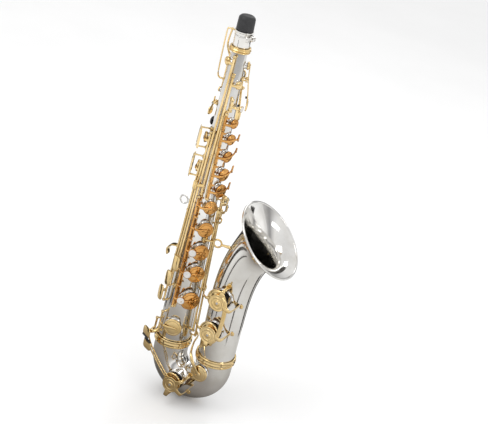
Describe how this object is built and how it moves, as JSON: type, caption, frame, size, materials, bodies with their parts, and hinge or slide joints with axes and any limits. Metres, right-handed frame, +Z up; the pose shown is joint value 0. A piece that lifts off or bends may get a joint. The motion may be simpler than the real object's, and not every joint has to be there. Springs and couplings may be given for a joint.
{
  "type": "tenor saxophone body",
  "caption": "Silver-plated conical woodwind body with bow and flared bell, gold lacquered keys on hinge rods, key guards, strap ring and a black end plug in the neck socket.",
  "frame": {"origin": "centre of the strap ring, where a neck strap's hook holds the instrument", "axes": "+Z up the body tube towards the neck socket, +X from the tube to the bell, -Y the player's right"},
  "size_m": [0.2557, 0.1586, 0.7811],
  "materials": {
    "silver_plate": "polished silver plate",
    "gold_lacquer": "clear gold lacquer, polished",
    "amber_lacquer": "amber gold lacquer, polished",
    "steel_rod": "ground steel rod",
    "black_plug": "matt moulded",
    "black_rest": "smooth",
    "pearl": "mother of pearl",
    "pad_leather": "tan pad skin",
    "black_felt": "felt and cork bumpers"
  },
  "bodies": {
    "root": {"bell": "silver_plate", "bell_bow_ring": "gold_lacquer", "bell_brace": "gold_lacquer", "bell_key_guard": "gold_lacquer", "body_bow_ring": "gold_lacquer", "body_tube": "silver_plate", "bow": "silver_plate", "bow_guard": "gold_lacquer", "low_c_guard": "gold_lacquer", "lower_stack_rib": "gold_lacquer", "lower_stack_rod": "steel_rod", "neck_receiver": "silver_plate", "octave_guard": "gold_lacquer", "octave_pin": "steel_rod", "palm_d_pin": "steel_rod", "palm_e_flat_pin": "steel_rod", "palm_f_pin": "steel_rod", "receiver_band": "gold_lacquer", "receiver_screw": "silver_plate", "side_b_flat_guard": "gold_lacquer", "side_c_guard": "gold_lacquer", "strap_ring": "silver_plate", "thumb_hook": "gold_lacquer", "thumb_rest": "black_rest", "upper_stack_rib": "gold_lacquer", "upper_stack_rod": "steel_rod"},
    "a_key": {"a_key": "amber_lacquer"},
    "b_key": {"b_key": "amber_lacquer"},
    "bis_key": {"bis_key": "amber_lacquer"},
    "d_key": {"d_key": "amber_lacquer"},
    "e_key": {"e_key": "amber_lacquer"},
    "end_plug": {"end_plug": "black_plug"},
    "f_key": {"f_key": "amber_lacquer"},
    "f_sharp_key": {"f_sharp_key": "amber_lacquer"},
    "front_f_key": {"front_f_key": "gold_lacquer"},
    "g_key": {"g_key": "amber_lacquer"},
    "g_sharp_key": {"g_sharp_key": "amber_lacquer"},
    "g_sharp_touch": {"g_sharp_touch": "gold_lacquer"},
    "high_f_sharp_key": {"high_f_sharp_key": "gold_lacquer"},
    "low_b_flat_key": {"low_b_flat_key": "gold_lacquer"},
    "low_b_key": {"low_b_key": "gold_lacquer"},
    "low_c_key": {"low_c_key": "gold_lacquer"},
    "low_c_sharp_key": {"low_c_sharp_key": "gold_lacquer"},
    "low_e_flat_key": {"low_e_flat_key": "gold_lacquer"},
    "octave_lever": {"octave_lever": "gold_lacquer"},
    "octave_vent_key": {"octave_vent_key": "gold_lacquer"},
    "palm_d_key": {"palm_d_key": "gold_lacquer"},
    "palm_e_flat_key": {"palm_e_flat_key": "gold_lacquer"},
    "palm_f_key": {"palm_f_key": "gold_lacquer"},
    "side_b_flat_key": {"side_b_flat_key": "gold_lacquer"},
    "side_c_key": {"side_c_key": "gold_lacquer"},
    "side_e_key": {"side_e_key": "gold_lacquer"},
    "small_c_key": {"small_c_key": "amber_lacquer"}
  },
  "joints": [
    {"name": "a_key_hinge", "type": "hinge", "parent": "root", "child": "a_key", "pos_m": [0.05596, -0.02625, 0.081], "axis": [-0.0151, 0.0284, 0.9995], "range_deg": [0, 5.5], "stiffness_Nm_per_rad": 0.05, "springref_deg": -28.65},
    {"name": "b_key_hinge", "type": "hinge", "parent": "root", "child": "b_key", "pos_m": [0.0549, -0.02426, 0.151], "axis": [-0.0151, 0.0284, 0.9995], "range_deg": [0, 5.5], "stiffness_Nm_per_rad": 0.05, "springref_deg": -28.65},
    {"name": "bis_key_hinge", "type": "hinge", "parent": "root", "child": "bis_key", "pos_m": [0.05541, -0.02522, 0.117], "axis": [-0.0151, 0.0284, 0.9995], "range_deg": [0, 5.5], "stiffness_Nm_per_rad": 0.05, "springref_deg": -28.65},
    {"name": "d_key_hinge", "type": "hinge", "parent": "root", "child": "d_key", "pos_m": [0.04133, -0.03823, -0.183], "axis": [0.0006, 0.0322, 0.9995], "range_deg": [0, 6], "stiffness_Nm_per_rad": 0.05, "springref_deg": -28.65},
    {"name": "e_key_hinge", "type": "hinge", "parent": "root", "child": "e_key", "pos_m": [0.04136, -0.03636, -0.125], "axis": [0.0006, 0.0322, 0.9995], "range_deg": [0, 6], "stiffness_Nm_per_rad": 0.05, "springref_deg": -28.65},
    {"name": "f_key_hinge", "type": "hinge", "parent": "root", "child": "f_key", "pos_m": [0.04139, -0.03488, -0.079], "axis": [0.0006, 0.0322, 0.9995], "range_deg": [0, 6], "stiffness_Nm_per_rad": 0.05, "springref_deg": -28.65},
    {"name": "f_sharp_key_hinge", "type": "hinge", "parent": "root", "child": "f_sharp_key", "pos_m": [0.04142, -0.03333, -0.031], "axis": [0.0006, 0.0322, 0.9995], "range_deg": [0, 6], "stiffness_Nm_per_rad": 0.05, "springref_deg": -28.65},
    {"name": "front_f_key_hinge", "type": "hinge", "parent": "root", "child": "front_f_key", "pos_m": [0.0583, -0.01942, 0.2168], "axis": [0.0207, -0.0247, -0.9995], "range_deg": [0, 7], "stiffness_Nm_per_rad": 0.05, "springref_deg": -28.65},
    {"name": "g_key_hinge", "type": "hinge", "parent": "root", "child": "g_key", "pos_m": [0.05645, -0.02719, 0.048], "axis": [-0.0151, 0.0284, 0.9995], "range_deg": [0, 5.5], "stiffness_Nm_per_rad": 0.05, "springref_deg": -28.65},
    {"name": "g_sharp_key_hinge", "type": "hinge", "parent": "root", "child": "g_sharp_key", "pos_m": [0.04144, -0.03188, 0.014], "axis": [-0.0006, -0.0322, -0.9995], "range_deg": [0, 6], "stiffness_Nm_per_rad": 0.05, "springref_deg": -28.65},
    {"name": "g_sharp_touch_hinge", "type": "hinge", "parent": "root", "child": "g_sharp_touch", "pos_m": [0.06826, 0.01979, -0.017], "axis": [-0.0257, -0.0194, 0.9995], "range_deg": [0, 6], "stiffness_Nm_per_rad": 0.05, "springref_deg": -28.65},
    {"name": "high_f_sharp_key_hinge", "type": "hinge", "parent": "root", "child": "high_f_sharp_key", "pos_m": [0.04478, -0.03036, 0.056], "axis": [-0.0248, -0.038, -0.999], "range_deg": [0, 9], "stiffness_Nm_per_rad": 0.05, "springref_deg": -28.65},
    {"name": "low_b_flat_key_hinge", "type": "hinge", "parent": "root", "child": "low_b_flat_key", "pos_m": [0.07359, 0.00332, 0.01775], "axis": [-0.032, -0.0034, 0.9995], "range_deg": [0, 7], "stiffness_Nm_per_rad": 0.05, "springref_deg": -28.65},
    {"name": "low_b_key_hinge", "type": "hinge", "parent": "root", "child": "low_b_key", "pos_m": [0.07382, -0.00504, 0.00375], "axis": [-0.0318, 0.005, 0.9995], "range_deg": [0, 7], "stiffness_Nm_per_rad": 0.05, "springref_deg": -28.65},
    {"name": "low_c_key_hinge", "type": "hinge", "parent": "root", "child": "low_c_key", "pos_m": [0.01004, -0.02588, -0.273], "axis": [0.025, 0.0203, 0.9995], "range_deg": [0, 6], "stiffness_Nm_per_rad": 0.05, "springref_deg": -28.65},
    {"name": "low_c_sharp_key_hinge", "type": "hinge", "parent": "root", "child": "low_c_sharp_key", "pos_m": [0.07123, 0.01122, 0.032], "axis": [0.0301, 0.0115, -0.9995], "range_deg": [0, 7.5], "stiffness_Nm_per_rad": 0.05, "springref_deg": -28.65},
    {"name": "low_e_flat_key_hinge", "type": "hinge", "parent": "root", "child": "low_e_flat_key", "pos_m": [0.02247, -0.03524, -0.247], "axis": [-0.0156, -0.0282, -0.9995], "range_deg": [0, 7], "stiffness_Nm_per_rad": 0.05, "springref_deg": -28.65},
    {"name": "octave_lever_hinge", "type": "hinge", "parent": "root", "child": "octave_lever", "pos_m": [0.0173, 0, 0.206], "axis": [0, -1, 0], "range_deg": [0, 8], "stiffness_Nm_per_rad": 0.05, "springref_deg": -28.65},
    {"name": "octave_vent_key_hinge", "type": "hinge", "parent": "root", "child": "octave_vent_key", "pos_m": [0.01916, 0.01214, 0.232], "axis": [-0.0284, 0.0151, -0.9995], "range_deg": [0, 8], "stiffness_Nm_per_rad": 0.05, "springref_deg": -28.65},
    {"name": "palm_d_key_hinge", "type": "hinge", "parent": "root", "child": "palm_d_key", "pos_m": [0.02858, 0.02147, 0.218], "axis": [-0.848, -0.5299, 0], "range_deg": [0, 9], "stiffness_Nm_per_rad": 0.05, "springref_deg": -28.65},
    {"name": "palm_e_flat_key_hinge", "type": "hinge", "parent": "root", "child": "palm_e_flat_key", "pos_m": [0.04958, 0.02334, 0.242], "axis": [-0.9511, 0.309, 0], "range_deg": [0, 9], "stiffness_Nm_per_rad": 0.05, "springref_deg": -28.65},
    {"name": "palm_f_key_hinge", "type": "hinge", "parent": "root", "child": "palm_f_key", "pos_m": [0.0641, 0.00893, 0.264], "axis": [-0.3746, 0.9272, 0], "range_deg": [0, 9], "stiffness_Nm_per_rad": 0.05, "springref_deg": -28.65},
    {"name": "side_b_flat_key_hinge", "type": "hinge", "parent": "root", "child": "side_b_flat_key", "pos_m": [0.01803, -0.02954, -0.17775], "axis": [0.0318, 0.0168, 0.9994], "range_deg": [0, 9], "stiffness_Nm_per_rad": 0.05, "springref_deg": -28.65},
    {"name": "side_c_key_hinge", "type": "hinge", "parent": "root", "child": "side_c_key", "pos_m": [0.02476, -0.03255, -0.14075], "axis": [0.0319, 0.0214, 0.9993], "range_deg": [0, 9], "stiffness_Nm_per_rad": 0.05, "springref_deg": -28.65},
    {"name": "side_e_key_hinge", "type": "hinge", "parent": "root", "child": "side_e_key", "pos_m": [0.03122, -0.03391, -0.104], "axis": [0.0321, 0.0282, 0.9991], "range_deg": [0, 9], "stiffness_Nm_per_rad": 0.05, "springref_deg": -28.65},
    {"name": "small_c_key_hinge", "type": "hinge", "parent": "root", "child": "small_c_key", "pos_m": [0.05443, -0.02337, 0.182], "axis": [-0.0151, 0.0284, 0.9995], "range_deg": [0, 5.5], "stiffness_Nm_per_rad": 0.05, "springref_deg": -28.65},
    {"name": "end_plug_slide", "type": "slide", "parent": "root", "child": "end_plug", "axis": [0, 0, 1], "range_m": [0, 0.03]}
  ],
  "couplings": [
    {"joint": "small_c_key_hinge", "follows": "a_key_hinge", "ratio": 1},
    {"joint": "f_sharp_key_hinge", "follows": "f_key_hinge", "ratio": 1},
    {"joint": "g_sharp_key_hinge", "follows": "g_sharp_touch_hinge", "ratio": 1},
    {"joint": "octave_vent_key_hinge", "follows": "octave_lever_hinge", "ratio": 1}
  ]
}
